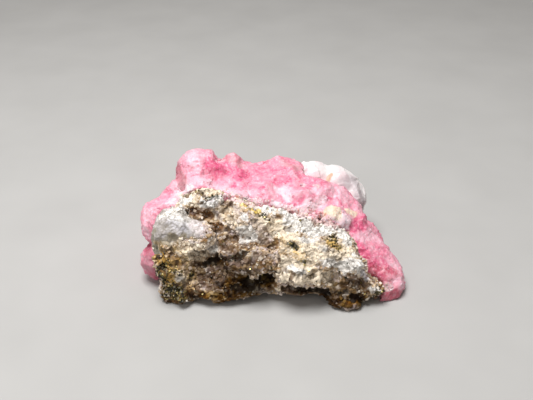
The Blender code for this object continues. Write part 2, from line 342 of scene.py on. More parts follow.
def modelled(name, primitive, *shaping, **size):
    # a small crystal shaped in edit mode; only its points and triangles are kept, for copying
    getattr(bpy.ops.mesh, "primitive_" + primitive + "_add")(**size)
    crystal = bpy.context.object
    crystal.name = name
    inEditMode(crystal, *shaping, bpy.ops.mesh.quads_convert_to_tris)
    points = np.array([vertex.co for vertex in crystal.data.vertices])
    faces = np.array([list(face.vertices) for face in crystal.data.polygons])
    bpy.data.objects.remove(crystal)
    return points, faces


def crust(pieceName, host, crystals, recipe):
    # one joined mesh of small crystals sown over a host, half sunk, with the host's paint
    chance = np.random.default_rng(recipe["seed"])
    mesh = host.data
    mesh.calc_loop_triangles()
    corners = np.empty(len(mesh.loop_triangles) * 3, np.int32)
    mesh.loop_triangles.foreach_get("vertices", corners)
    corners = corners.reshape(-1, 3)
    hostPoints, hostNormals = readPoints(host), readNormals(host)
    layers = {layer.name: readLayer(host, layer.name) for layer in mesh.attributes
              if layer.data_type == "FLOAT" and layer.domain == "POINT"}
    a, b, c = (hostPoints[corners[:, k]] for k in range(3))
    density = np.full(len(corners), recipe["everywhere"])
    for name, share in recipe["more"].items():
        density += share * layers[name][corners].mean(axis=1)
    density = np.clip(density, 0, None) * np.linalg.norm(np.cross(b - a, c - a), axis=1)
    density *= a[:, 2] > floorGap * mm
    count = recipe["count"]
    chosen = chance.choice(len(corners), count, p=density / density.sum())
    u, v = chance.uniform(size=(2, count, 1))
    u, v = np.where(u + v > 1, 1 - u, u), np.where(u + v > 1, 1 - v, v)
    place = a[chosen] * (1 - u - v) + b[chosen] * u + c[chosen] * v
    lean = chance.normal(size=(count, 3)) * recipe["lean"]
    up = unit(unit(hostNormals[corners[chosen]].mean(axis=1)) + lean)
    side = unit(np.cross(up, chance.normal(size=(count, 3))))
    turns = np.stack([side, np.cross(up, side), up], axis=2)
    small, large = recipe["sizes"]
    sizes = small * (large / small) ** chance.uniform(size=count) ** recipe["rarity"] * mm
    squash = chance.uniform(0.7, 1.3, size=(count, 3))
    kind = chance.integers(0, len(crystals), count)
    tone = chance.uniform(size=count)
    allPoints, allFaces, owners, heights = [], [], [], []
    start = 0
    for index, (points, faces) in enumerate(crystals):
        mine = np.nonzero(kind == index)[0]
        shape = points[None] * squash[mine][:, None] * sizes[mine][:, None, None]
        heights.append(np.tile(points[:, 2], len(mine)))
        turned = np.einsum("nij,nvj->nvi", turns[mine], shape)
        turned += (place[mine] + up[mine] * sizes[mine][:, None] * recipe["rise"])[:, None]
        allPoints.append(turned.reshape(-1, 3))
        starts = (np.arange(len(mine)) * len(points))[:, None, None] + start
        allFaces.append((faces[None] + starts).reshape(-1, 3))
        owners.append(mine.repeat(len(points)))
        start += len(mine) * len(points)
    owners = np.concatenate(owners)
    piece = bpy.data.objects.new(pieceName, bpy.data.meshes.new(pieceName))
    bpy.context.scene.collection.objects.link(piece)
    piece.data.from_pydata(np.concatenate(allPoints).tolist(), [], np.concatenate(allFaces).tolist())
    for name, values in layers.items():
        writeLayer(piece, name, values[corners[chosen]].mean(axis=1)[owners])
    writeLayer(piece, "relief", np.concatenate(heights) * tipRelief)
    writeLayer(piece, "tone", tone[owners])
    standOnFloor(piece)
    return piece


# Tools for materials
def colour(code):
    # sRGB hex to linear
    parts = [int(code[i:i + 2], 16) / 255 for i in (1, 3, 5)]
    return [p / 12.92 if p <= 0.04045 else ((p + 0.055) / 1.055) ** 2.4 for p in parts] + [1.0]


def add(tree, kind, links=None, **settings):
    # one shader node with its settings, and its inputs as sockets, hex colours or plain values
    node = tree.nodes.new("ShaderNode" + kind)
    for name, value in settings.items():
        setattr(node, name, value)
    for name, value in (links or {}).items():
        if isinstance(value, bpy.types.NodeSocket):
            tree.links.new(value, node.inputs[name])
        else:
            node.inputs[name].default_value = colour(value) if isinstance(value, str) else value
    return node


def newMaterial(name):
    # an empty material, its tree, and the piece's own coordinates for its patterns
    material = bpy.data.materials.new(name)
    material.use_nodes = True
    material.node_tree.nodes.clear()
    return material, material.node_tree, add(material.node_tree, "TexCoord").outputs["Object"]


def finishMaterial(tree, looks, bumps=None, depth=0.0, strength=0.0):
    # the surface shader, under fine bumps of a depth in mm where they are given
    if bumps is not None:
        bump = add(tree, "Bump", {"Height": bumps, "Distance": depth * mm, "Strength": strength})
        looks["Normal"] = bump.outputs["Normal"]
    surface = add(tree, "BsdfPrincipled", looks)
    add(tree, "OutputMaterial", {"Surface": surface.outputs["BSDF"]})


def sunkLight(weight, tints, depth):
    # light that sinks a depth in mm into the stone
    return {"Subsurface Weight": weight, "Subsurface Radius": tints, "Subsurface Scale": depth * mm}


def mixed(tree, factor, first, second, blend="MIX"):
    return add(tree, "Mix", {0: factor, 6: first, 7: second}, data_type="RGBA", blend_type=blend).outputs[2]


def ramp(tree, factor, stops):
    # stops are (place, hex colour)
    node = add(tree, "ValToRGB", {"Fac": factor})
    elements = node.color_ramp.elements
    while len(elements) < len(stops):
        elements.new(0.5)
    for element, (place, code) in zip(elements, stops):
        element.position = place
        element.color = colour(code)
    return node.outputs["Color"]


def remapped(tree, value, low, high, toLow=0.0, toHigh=1.0):
    ends = {"From Min": low, "From Max": high, "To Min": toLow, "To Max": toHigh}
    return add(tree, "MapRange", {"Value": value, **ends}, interpolation_type="SMOOTHSTEP").outputs["Result"]


def level(tree, name):
    return add(tree, "Attribute", attribute_name=name).outputs["Fac"]


def figure(tree, operation, *values):
    return add(tree, "Math", dict(enumerate(values)), operation=operation).outputs["Value"]


def times(tree, first, second):
    return figure(tree, "MULTIPLY", first, second)


def sumOf(tree, first, share, second):
    # a share of the first, added to the second
    return figure(tree, "MULTIPLY_ADD", first, share, second)


def layered(tree, shade, layers, breakup):
    # each layer is laid over the last: its name, colour, strength, how far the breakup frays it, its softness
    for name, code, strength, fray, soft in layers:
        frayed = sumOf(tree, breakup, fray, level(tree, name))
        middle = 0.5 + fray / 2
        mask = remapped(tree, frayed, middle - soft, middle + soft, 0.0, strength)
        shade = mixed(tree, mask, shade, code)
    return shade


def noiseOf(tree, coords, size, detail=2.0, rough=0.5):
    # noise whose lumps are size mm across
    look = {"Vector": coords, "Scale": 1 / (size * mm), "Detail": detail, "Roughness": rough}
    return add(tree, "TexNoise", look).outputs["Fac"]


print("camera and tools ready")


# Wall rock: a slab of sugary quartz, rusted and veined. Sizes are in mm here and in the other recipes.
rockRecipe = {
    "roundingCell": 0.35, "rounding": 4, "growth": 0.15, "skinCell": 0.19,
    "lumps": {"size": 3.0, "height": 0.7, "noise_depth": 2},      # knobs and hollows a few mm across
    "coarse": {"seed": 61, "size": 1.9, "stretch": 1.6, "flat": 0.50, "tilt": 0.30, "step": 0.28,
               "crack": 0.18, "crackWidth": 0.25},
    "fine": {"seed": 62, "size": 0.70, "stretch": 1.2, "flat": 0.6, "tilt": 0.50, "step": 0.12,
             "crack": 0.10, "crackWidth": 0.30},
    "coarseShare": 0.3, "coarseGap": 0.8,
    "roughness": [{"pattern": "VORONOI", "size": 0.85, "height": -0.30},
                  {"pattern": "CLOUDS", "size": 0.4, "height": 0.12, "noise_depth": 1}],
    "reliefSpan": 0.5,
    "wander": (0.9, 0.5),
    "pressed": {"blackShade": 0.6, "brown": 0.25, "hollow": 0.3, "slate": 0.3, "recede": 0.9, "fill": -1.0},
    "bulgesOn": ["matrix", "grey_quartz"],
    "bulges": {
        "swellFoot": [
            (156, 246, 1.4, 0.4), (165, 249, 1.3, 0.5), (174, 247, 1.1, 0.5), (183, 246, 1.2, 0.6),
            (193, 247, 1.4, 0.6), (202, 244, 1.2, 0.5), (209, 238, 1.1, 0.5), (212, 229, 1.0, 0.5),
        ],
        "rustyEnd": [
            (158, 257, 1.1, 0.3), (167, 257, 1.0, 0.3), (176, 262, 1.3, 0.4), (160, 266, 0.9, 0.3),
            (170, 272, 1.2, 0.3), (167, 281, 1.2, 0.4), (175, 283, 1.0, 0.3), (184, 276, 1.3, 0.5),
            (168, 292, 0.9, 0.3), (182, 298, 1.0, 0.4), (176, 290, 0.9, 0.4), (193, 288, 1.3, 0.5),
        ],
        "aboveHollow": [(203, 203, 1.4, 0.5), (211, 205, 1.3, 0.5), (193, 202, 1.3, 0.5)],
        "topEdge": [(267, 208, 1.0, 0.35)],
        "face": [(244, 231, 1.3, 0.5), (257, 240, 1.3, 0.5)],
        "lip": [
            (284, 275, 1.3, 0.4), (297, 277, 1.2, 0.3), (308, 279, 1.4, 0.4), (318, 279, 1.2, 0.4),
            (292, 265, 1.5, 0.3), (303, 269, 1.5, 0.3),
        ],
        "belowSwell": [(212, 247, 1.2, 0.4), (187, 250, 1.1, 0.5)],
        "rightFoot": [(360, 300, 1.4, 0.4)],
        "whitePatch": [(348, 262, 1.3, 0.4), (357, 264, 1.4, 0.4)],
        "rightTip": [(374, 291, 1.0, 0.4), (381, 290, 0.9, 0.4)],
    },
    "blocks": {
        "aboveLip": [
            (1.4, -12.7, 10.5), (4.2, -13.4, 11.1), (7.0, -13.1, 10.8), (7.8, -13.5, 9.7),
            (5.6, -14.0, 8.2), (3.2, -14.1, 8.0), (1.2, -13.4, 7.9), (1.2, -12.6, 8.8), (4.2, -9.0, 8.0),
        ],
        "rightOfIt": [
            (7.7, -13.8, 9.3), (9.7, -13.9, 9.4), (10.9, -12.9, 8.8), (6.0, -14.1, 8.5), (7.6, -14.0, 7.8),
            (9.4, -13.9, 7.8), (8.0, -9.5, 7.5),
        ],
    },
}
rockPaint = {
    "cream": [
        (1.7, 0.8, (188, 193), (200, 190), (214, 191)), (1.3, 0.8, (190, 200), (196, 206)),
        (2.2, 0.6, (226, 212), (240, 220), (248, 230)), (0.5, 1.0, (213, 210), (215, 216)),
        (1.2, 0.6, (230, 223), (236, 225)), (1.4, 0.6, (256, 230), (262, 238)),
        (1.0, 0.6, (272, 255), (279, 257)), (1.3, 0.9, (288, 261), (302, 264)),
        (2.0, 0.7, (184, 251), (198, 251), (211, 246)), (1.8, 1.0, (283, 263), (296, 265), (308, 264)),
        (2.6, 0.8, (262, 224), (280, 228), (292, 236)),
        (3.4, 0.9, (288, 240), (303, 250), (322, 250), (345, 252)),
        (1.8, 1.0, (280, 275), (296, 276), (318, 275), (327, 276)), (1.4, 0.7, (172, 262), (188, 272)),
        (1.2, 0.9, (328, 262), (337, 263)), (1.5, 0.9, (178, 250), (190, 252), (189, 257)),
        (1.3, 1.0, (176, 279), (183, 280)), (1.0, 0.9, (192, 255), (199, 257)),
        (1.4, 0.9, (210, 242), (214, 249)), (0.7, 0.5, (246, 254), (250, 254)),
        (0.8, 0.8, (210, 294), (214, 294)), (0.8, 0.8, (277, 290), (284, 289)),
        (0.8, 0.7, (341, 305), (350, 308)), (0.9, 0.9, (199, 255), (206, 254)),
        (1.3, 1.0, (170, 270), (174, 274)), (1.6, 1.0, (296, 272), (308, 272)),
        (1.0, 0.9, (327, 238), (332, 240)), (0.8, 0.9, (329, 297), (335, 298)),
        (1.0, 0.6, (185, 247), (190, 250)), (0.9, 0.7, (329, 283), (335, 285)),
    ],
    "rosy": [
        (1.2, 1.0, (292, 212), (305, 216), (320, 221), (341, 226)),
        (0.8, 0.7, (222, 196), (240, 201), (254, 206)), (1.2, 0.9, (328, 224), (338, 227)),
        (0.9, 0.6, (313, 222), (319, 225)),
    ],
    "white": [
        (2.2, 1.0, (264, 207), (279, 206), (290, 213)), (2.4, 1.0, (292, 222), (306, 225), (313, 231)),
        (2.0, 1.0, (344, 267), (353, 263), (363, 267)), (1.4, 0.9, (340, 232), (349, 241)),
        (1.4, 0.9, (321, 230), (330, 231)), (1.6, 0.8, (302, 238), (313, 240)),
        (1.0, 0.5, (284, 270), (290, 268)), (1.0, 1.0, (370, 290), (380, 292)),
        (1.4, 0.9, (241, 231), (249, 229), (252, 238)), (1.0, 0.7, (256, 239), (262, 241)),
        (1.0, 0.9, (202, 204), (213, 206)), (1.2, 0.9, (180, 200), (190, 200)),
        (0.9, 0.8, (242, 215), (247, 218)), (0.9, 0.8, (241, 240), (247, 239)),
        (1.0, 0.7, (354, 256), (358, 257)), (0.6, 0.8, (288, 267), (292, 266)),
        (1.0, 0.7, (216, 199), (223, 198)), (1.0, 0.9, (241, 232), (247, 234)),
        (1.2, 0.9, (325, 262), (336, 264)), (1.2, 0.8, (211, 240), (213, 249)),
        (0.6, 1.0, (182, 300), (186, 301)), (0.6, 0.9, (195, 290), (197, 290)),
        (0.9, 0.7, (178, 279), (182, 280)), (1.1, 1.0, (297, 270), (303, 273)),
        (0.9, 0.6, (321, 247), (327, 249)), (0.9, 0.7, (210, 247), (215, 249)),
    ],
    "yellow": [(0.6, 1.0, (243, 205), (251, 208), (259, 212))],
    "rust": [
        (1.7, 1.0, (157, 258), (165, 262), (176, 262)), (1.5, 0.9, (160, 250), (170, 266)),
        (1.7, 1.0, (164, 272), (169, 281), (174, 286)), (1.5, 0.9, (207, 297), (218, 296), (226, 299)),
        (0.9, 0.9, (349, 300), (356, 301)), (2.2, 0.45, (172, 250), (190, 268), (192, 292)),
        (1.5, 0.8, (330, 242), (338, 246)), (1.2, 0.5, (297, 255), (303, 257)),
        (1.4, 0.4, (282, 240), (291, 249), (298, 244)),
    ],
    "hollow": [
        (0.9, 1.0, (185, 214), (191, 212), (198, 212), (204, 213), (210, 215)),
        (1.2, 1.0, (210, 232), (213, 228), (219, 226)), (0.3, 0.8, (199, 203), (200, 204)),
    ],
    # brown is iron staining; the strokes in the grooves between the lip's lumps, under them and along the
    # foot are painted shade
    "brown": [
        (0.8, 0.9, (183, 214), (190, 212)), (0.9, 0.6, (290, 280), (294, 282)),
        (0.6, 0.9, (226, 202), (232, 203)), (1.4, 0.7, (345, 285), (352, 278), (364, 285)),
        (1.6, 0.6, (222, 262), (238, 262), (248, 260)), (1.0, 0.6, (192, 263), (199, 264)),
        (1.0, 0.7, (240, 246), (248, 247)), (1.2, 0.7, (262, 239), (270, 245), (276, 246)),
        (0.5, 1.0, (186, 195), (195, 192), (203, 193)), (0.9, 0.7, (207, 231), (215, 232)),
        (0.6, 0.5, (344, 256), (350, 258)), (0.9, 0.6, (352, 296), (358, 300)),
        (1.2, 0.3, (246, 263), (259, 264)), (0.7, 0.5, (289, 255), (295, 256)),
        (0.6, 0.4, (229, 235), (234, 238)), (2.0, 0.7, (280, 295), (310, 298), (335, 300)),
        (0.8, 0.5, (321, 264), (326, 266)), (0.9, 0.6, (177, 255), (183, 257)),
        (1.5, 0.8, (223, 243), (228, 247), (238, 250)), (0.8, 0.5, (216, 214), (222, 218)),
        (0.9, 0.8, (226, 239), (237, 240)), (0.8, 0.4, (266, 248), (278, 248)),
        (0.9, 0.9, (170, 255), (175, 258)), (0.9, 0.7, (178, 263), (183, 266)),
        (0.9, 0.7, (186, 270), (191, 273)), (1.4, 0.8, (201, 279), (207, 281), (222, 280)),
        (1.0, 0.8, (162, 271), (166, 274)), (1.3, 1.0, (210, 287), (215, 289)),
        (1.4, 0.8, (186, 295), (198, 297)), (1.4, 0.9, (288, 288), (304, 289), (320, 289)),
        (0.8, 0.5, (242, 224), (247, 225)), (0.8, 0.6, (314, 222), (320, 225)),
        (1.0, 0.4, (229, 207), (238, 208)), (1.0, 0.6, (265, 254), (270, 256)),
        (0.9, 0.6, (329, 248), (335, 249)), (1.0, 0.4, (168, 239), (175, 240)),
        (0.6, 0.8, (292, 273), (291, 282)), (0.9, 0.6, (288, 281), (295, 283)),
        (0.8, 0.6, (280, 271), (285, 269)), (1.0, 0.6, (257, 254), (262, 258)),
        (0.8, 0.4, (281, 238), (286, 242)), (0.9, 0.8, (211, 229), (214, 235)),
    ],
    # painted shade, near black, in crevices and pits, under the lip and along the foot; the skin is also
    # pressed in where it lies
    "blackShade": [
        (0.7, 1.0, (204, 264), (219, 259), (232, 256), (248, 250)),
        (1.4, 1.0, (247, 282), (255, 279), (270, 278)), (1.1, 1.0, (230, 257), (241, 255)),
        (1.0, 0.9, (215, 261), (223, 258)), (0.8, 1.0, (217, 256), (224, 256)),
        (0.5, 1.0, (163, 267), (166, 268)), (0.8, 1.0, (157, 272), (160, 276)), (0.6, 1.0, (167, 243)),
        (0.5, 0.9, (303, 231)), (0.25, 0.4, (309, 273), (316, 272)), (0.25, 0.4, (336, 266), (346, 263)),
        (1.1, 0.9, (312, 293), (326, 294)), (0.9, 0.7, (339, 293), (346, 292)),
        (1.4, 0.5, (225, 293), (250, 293), (272, 293)), (1.2, 1.0, (245, 288), (257, 288)),
        (1.0, 0.7, (217, 281), (223, 282)), (0.7, 0.7, (271, 273), (276, 273)),
        (1.0, 0.7, (292, 287), (306, 289), (318, 289)), (1.0, 0.8, (234, 288), (240, 290)),
        (1.0, 0.9, (352, 297), (364, 302)), (1.0, 0.5, (188, 297), (197, 298)),
    ],
    "slate": [
        (0.7, 1.0, (289, 243), (295, 246)), (0.4, 1.0, (303, 260), (305, 263)),
        (1.0, 0.9, (171, 289), (180, 291)), (0.9, 1.0, (154, 245), (157, 251)),
        (0.4, 0.9, (264, 214), (267, 217)), (0.4, 0.9, (206, 197), (212, 199), (218, 196)),
    ],
    "grey": [
        (1.1, 0.9, (202, 204), (209, 204), (214, 205)), (0.8, 0.6, (216, 214)),
        (1.3, 0.5, (285, 217), (298, 221)), (1.1, 0.9, (362, 273), (366, 277)),
    ],
    "lilac": [
        (2.0, 0.5, (238, 214), (250, 220), (262, 232)), (1.1, 0.7, (199, 284), (204, 285)),
        (2.0, 0.5, (266, 250), (274, 258)), (2.0, 0.5, (236, 232), (245, 238)),
        (1.4, 0.8, (345, 307), (354, 307)), (0.5, 0.9, (208, 270), (224, 268), (240, 264), (256, 259)),
        (0.5, 0.8, (212, 276), (228, 274), (244, 271), (262, 268)), (0.4, 0.8, (222, 283), (236, 280)),
    ],
    # painted shade: the foot, the underside of the lip and the places under overhangs are darkened
    "paintedShade": [
        (3.6, 1.0, (224, 300), (240, 297), (285, 297), (330, 302), (350, 310), (380, 298)),
        (2.5, 0.9, (165, 300), (200, 299)), (1.3, 1.0, (213, 262), (226, 263)),
        (2.6, 0.8, (204, 271), (230, 271), (252, 272)), (2.2, 1.0, (222, 284), (246, 280), (268, 282)),
        (2.0, 0.8, (250, 264), (261, 263)), (1.4, 0.4, (254, 254), (262, 254)),
        (2.0, 0.9, (338, 287), (351, 289)), (3.0, 0.5, (160, 262), (165, 275)),
        (1.4, 0.7, (216, 260), (240, 258)), (1.1, 0.7, (209, 231), (214, 233)),
        (1.1, 0.5, (249, 255), (255, 257)), (1.2, 1.0, (201, 295), (206, 298)),
        (1.1, 0.7, (210, 288), (215, 290)), (1.6, 0.8, (286, 291), (318, 292)),
        (1.5, 0.8, (200, 288), (205, 297)), (1.1, 0.6, (222, 247), (230, 248)),
    ],
    "recede": [(1.3, 1.0, (355, 240), (361, 252), (367, 264)), (1.2, 0.8, (374, 277), (384, 282))],
    "fill": [
        (1.1, 0.8, (297, 270), (309, 271)), (1.3, 0.8, (285, 278)), (1.7, 0.8, (302, 279)),
        (1.3, 0.7, (316, 279)), (1.2, 0.8, (186, 253), (192, 257)), (1.1, 0.8, (194, 218), (201, 220)),
    ],
    "ore": [
        (0.4, 0.5, (208, 197), (218, 195)), (2.0, 1.0, (168, 288), (178, 298)),
        (1.4, 1.0, (156, 272), (162, 280)), (0.7, 0.5, (291, 244), (295, 246)), (0.7, 0.6, (303, 261)),
        (1.2, 0.7, (332, 239), (338, 246)), (0.6, 1.0, (190, 276), (192, 275)),
        (1.0, 0.5, (264, 214), (266, 217)), (0.6, 0.15, (186, 194), (200, 192)),
        (1.2, 0.5, (165, 266), (178, 272)), (1.2, 0.5, (375, 296), (382, 292)),
    ],
}

wallRock = skinOf("matrix", "wallRock", rockRecipe, rockPaint)
pressIn(wallRock, rockRecipe["pressed"])
rockBase = readPoints(wallRock)
coarseRock = granulate(wallRock, rockRecipe, "coarse")
fineRock = granulate(wallRock, rockRecipe, "fine")
finishGrains(wallRock, rockRecipe, rockBase, coarseRock, fineRock)
standOnFloor(wallRock)
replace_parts(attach(wallRock, "root"), "matrix")
print("wall rock ready", len(wallRock.data.polygons))


def rockMaterial(name, onGrains):
    # Granular vein quartz with iron rust: dull and sugary, pale grains darker between them with iron dirt and
    # painted shade, painted highlights on their raised tops, and painted shade in crevices and along the foot
    material, tree, coords = newMaterial(name)
    fine = noiseOf(tree, coords, 0.45, 3.0, 0.6)
    broad = noiseOf(tree, coords, 2.8, 3.0, 0.6)
    own = level(tree, "tone")
    tone = sumOf(tree, broad, 0.55, times(tree, own, 0.5))
    shade = ramp(tree, tone, [(0.22, "#553618"), (0.32, "#936C3F"), (0.41, "#C4A47A"), (0.52, "#E6D2B6"),
                              (0.62, "#CFBCB6"), (0.74, "#F9F0E4")])
    breakup = sumOf(tree, own, 0.5, times(tree, fine, 0.5))
    shade = layered(tree, shade, [
        ("cream", "#FBEBD2", 0.9, 0.9, 0.3), ("lilac", "#C3AEB8", 0.55, 0.9, 0.3),
        ("grey", "#E2E0E6", 0.85, 0.5, 0.3), ("rosy", "#EFCDCF", 0.85, 0.8, 0.3),
        ("white", "#FBF8F3", 0.92, 0.9, 0.3), ("rust", "#D8A92E", 0.8, 1.1, 0.35),
        ("yellow", "#F3D160", 0.9, 0.8, 0.2), ("brown", "#6B461C", 0.8, 0.9, 0.3),
        # the near-black layer is painted shade in crevices, pits and along the foot
        ("slate", "#43473A", 0.9, 0.5, 0.3), ("blackShade", "#1C150B", 0.92, 0.6, 0.3),
    ], breakup)
    shade = mixed(tree, level(tree, "hollow"), shade, "#977341", "MULTIPLY")
    clean = figure(tree, "MAXIMUM", level(tree, "cream"), level(tree, "white"))
    clean = figure(tree, "MAXIMUM", clean, level(tree, "grey"))
    # darker in the low places between the grains: partly iron dirt lodged there, partly painted shade; less
    # on clean grains, more in the rust
    dirtAndShade = remapped(tree, sumOf(tree, fine, 0.5, level(tree, "relief")), 0.0, -0.45, 0.0, 0.7)
    dirtAndShade = times(tree, dirtAndShade, sumOf(tree, clean, -0.6, 1.0))
    dirtAndShade = times(tree, dirtAndShade, sumOf(tree, level(tree, "rust"), 0.7, 1.0))
    shade = mixed(tree, dirtAndShade, shade, "#43280C")
    if not onGrains:
        crack = remapped(tree, level(tree, "gap"), 0.4, 1.0, 0.0, 0.6)
        shade = mixed(tree, crack, shade, "#432C10")
    # painted highlight: the raised tops of the grains are lightened
    shade = mixed(tree, remapped(tree, level(tree, "relief"), 0.2, 0.7, 0.0, 0.3), shade, "#FFFAEE")
    # painted shade multiplied in, weaker on the palest grains; it also dulls the gloss there
    paintedShade = times(tree, level(tree, "paintedShade"), remapped(tree, own, 0.55, 0.9, 1.0, 0.4))
    shade = mixed(tree, paintedShade, shade, "#806834", "MULTIPLY")
    gloss = sumOf(tree, figure(tree, "MAXIMUM", level(tree, "blackShade"), paintedShade), -0.4, 0.5)
    looks = {"Base Color": shade, "Roughness": 0.55, "IOR": 1.54, "Specular IOR Level": gloss}
    finishMaterial(tree, looks, fine, depth=0.1, strength=0.6)
    return material


wallRock.data.materials.append(rockMaterial("sugaryVeinQuartz", False))


# Loose quartz grains on the wall rock
grainShapes = [
    modelled("quartzGrain", "ico_sphere", roughened(offset=0.12, seed=3), subdivisions=1, radius=0.5),
    modelled("quartzChip", "cube", roughened(offset=0.15, seed=8), size=0.8),
    modelled("quartzPoint", "cone", vertices=6, radius1=0.42, radius2=0.06, depth=1.0),
]
grainRecipe = {
    "seed": 21, "count": 3600, "sizes": (0.22, 0.7), "rarity": 1.4, "lean": 0.35, "rise": -0.02,
    "everywhere": 1.0, "more": {"blackShade": -0.7, "brown": -0.3, "cream": -0.7, "white": -0.5, "relief": 0.5},
}
quartzGrains = crust("quartzGrains", wallRock, grainShapes, grainRecipe)
quartzGrains.data.materials.append(rockMaterial("looseQuartzGrains", True))
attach(quartzGrains, "root")
print("quartz grains ready", len(quartzGrains.data.polygons))


# Sulphide ore: specks of dark metal with golden glints
oreShapes = [modelled("oreCube", "cube", lambda: bpy.ops.mesh.bevel(offset=0.2, affect="VERTICES"), size=0.8)]
oreRecipe = {
    "seed": 31, "count": 1300, "sizes": (0.14, 0.4), "rarity": 1.4, "lean": 0.6, "rise": 0.2,
    "everywhere": 0.015, "more": {"ore": 2.0},
}
oreSpecks = crust("oreSpecks", wallRock, oreShapes, oreRecipe)


def oreMaterial():
    # Pyrite and tarnished sphalerite: dark olive metal that flashes gold
    material, tree, coords = newMaterial("tarnishedPyrite")
    mottle = noiseOf(tree, coords, 0.3, 2.0, 0.5)
    tone = sumOf(tree, level(tree, "tone"), 0.7, times(tree, mottle, 0.3))
    shade = ramp(tree, tone, [(0.25, "#2B2A20"), (0.55, "#5A5334"), (0.72, "#94824A"), (0.85, "#DCC888")])
    finishMaterial(tree, {"Base Color": shade, "Metallic": 0.6, "Roughness": 0.38})
    return material


oreSpecks.data.materials.append(oreMaterial())
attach(oreSpecks, "root")
print("ore specks ready", len(oreSpecks.data.polygons))


# Grey quartz: the milky swell at the rock's left
swellRecipe = {
    "roundingCell": 0.3, "rounding": 5, "growth": 0.2, "skinCell": 0.16,
    "lumps": {"size": 2.4, "height": 0.6, "noise_depth": 1},
    "coarse": {"seed": 13, "size": 1.8, "flat": 0.6, "tilt": 0.25, "step": 0.12,
               "crack": 0.05, "crackWidth": 0.2},
    "fine": {"seed": 14, "size": 0.7, "flat": 0.5, "tilt": 0.3, "step": 0.05,
             "crack": 0.05, "crackWidth": 0.3},
    "coarseShare": 0.5, "coarseGap": 1.0,
    "roughness": [{"pattern": "CLOUDS", "size": 0.4, "height": 0.08, "noise_depth": 1}],
    "reliefSpan": 0.25,
    "wander": (1.0, 0.6),
    "pressed": {"recede": 1.0},
    "blocks": {
        "leftRim": [
            (-21.4, -7.7, 13.9), (-21.7, -7.9, 12.3), (-21.8, -8.0, 10.6), (-21.6, -8.2, 9.0),
            (-21.2, -8.6, 7.7), (-20.3, -8.4, 14.0), (-20.1, -9.2, 13.0), (-20.1, -9.5, 11.5),
            (-20.1, -9.7, 9.8), (-20.4, -9.5, 8.2), (-21.0, -5.0, 12.8), (-21.4, -5.0, 9.0),
            (-19.5, -5.0, 11.0),
        ],
    },
}
swellPaint = {
    "white": [(1.8, 1.0, (163, 213), (175, 209), (190, 214)), (1.4, 0.7, (172, 218), (196, 222))],
    "blue": [(1.6, 0.9, (171, 222), (185, 228))],
    "warm": [(1.2, 0.7, (186, 240), (200, 243)), (1.2, 1.0, (210, 240), (211, 248))],
    "steel": [
        (1.1, 0.6, (158, 226), (160, 240), (160, 250)), (1.1, 0.8, (165, 226), (172, 236)),
        (0.9, 0.6, (160, 214), (160, 222)),
    ],
    # partly olive-brown staining, partly painted shade under the swell's bulge and at its right end
    "dark": [
        (1.1, 0.8, (162, 242), (170, 243)), (1.2, 0.9, (170, 238), (186, 240), (200, 242)),
        (1.0, 0.7, (174, 236), (183, 237)), (1.1, 1.0, (210, 228), (213, 235)),
    ],
    "olive": [
        (1.0, 0.6, (154, 230), (154, 236)), (1.3, 1.0, (154, 240), (155, 247), (158, 254)),
        (1.2, 0.8, (160, 246), (166, 246)),
    ],
    "seam": [
        (1.5, 1.0, (206, 222), (212, 230)), (1.4, 0.5, (212, 238), (210, 245)),
        (1.5, 1.0, (203, 246), (188, 247), (170, 247), (158, 246)),
    ],
    "cream": [(1.7, 0.5, (212, 240), (203, 246), (188, 247), (176, 247))],
    "lilac": [(2.0, 0.9, (198, 224), (206, 236))],
    "recede": [
        (1.7, 1.0, (154, 213), (160, 210), (166, 207)), (1.1, 0.9, (185, 213), (189, 214)),
        (0.9, 0.8, (213, 224), (214, 230)),
    ],
    "rim": [
        (1.5, 1.0, (180, 246), (190, 244), (205, 244)), (1.3, 0.9, (160, 213), (172, 208), (184, 207)),
        (1.4, 1.0, (206, 222), (211, 232), (211, 240)),
    ],
}

greySwell = skinOf("grey_quartz", "greySwell", swellRecipe, swellPaint)
swellBase = readPoints(greySwell)
pressIn(greySwell, swellRecipe["pressed"])
coarseSwell = granulate(greySwell, swellRecipe, "coarse")
fineSwell = granulate(greySwell, swellRecipe, "fine")
finishGrains(greySwell, swellRecipe, swellBase, coarseSwell, fineSwell)
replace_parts(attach(greySwell, "root"), "grey_quartz")


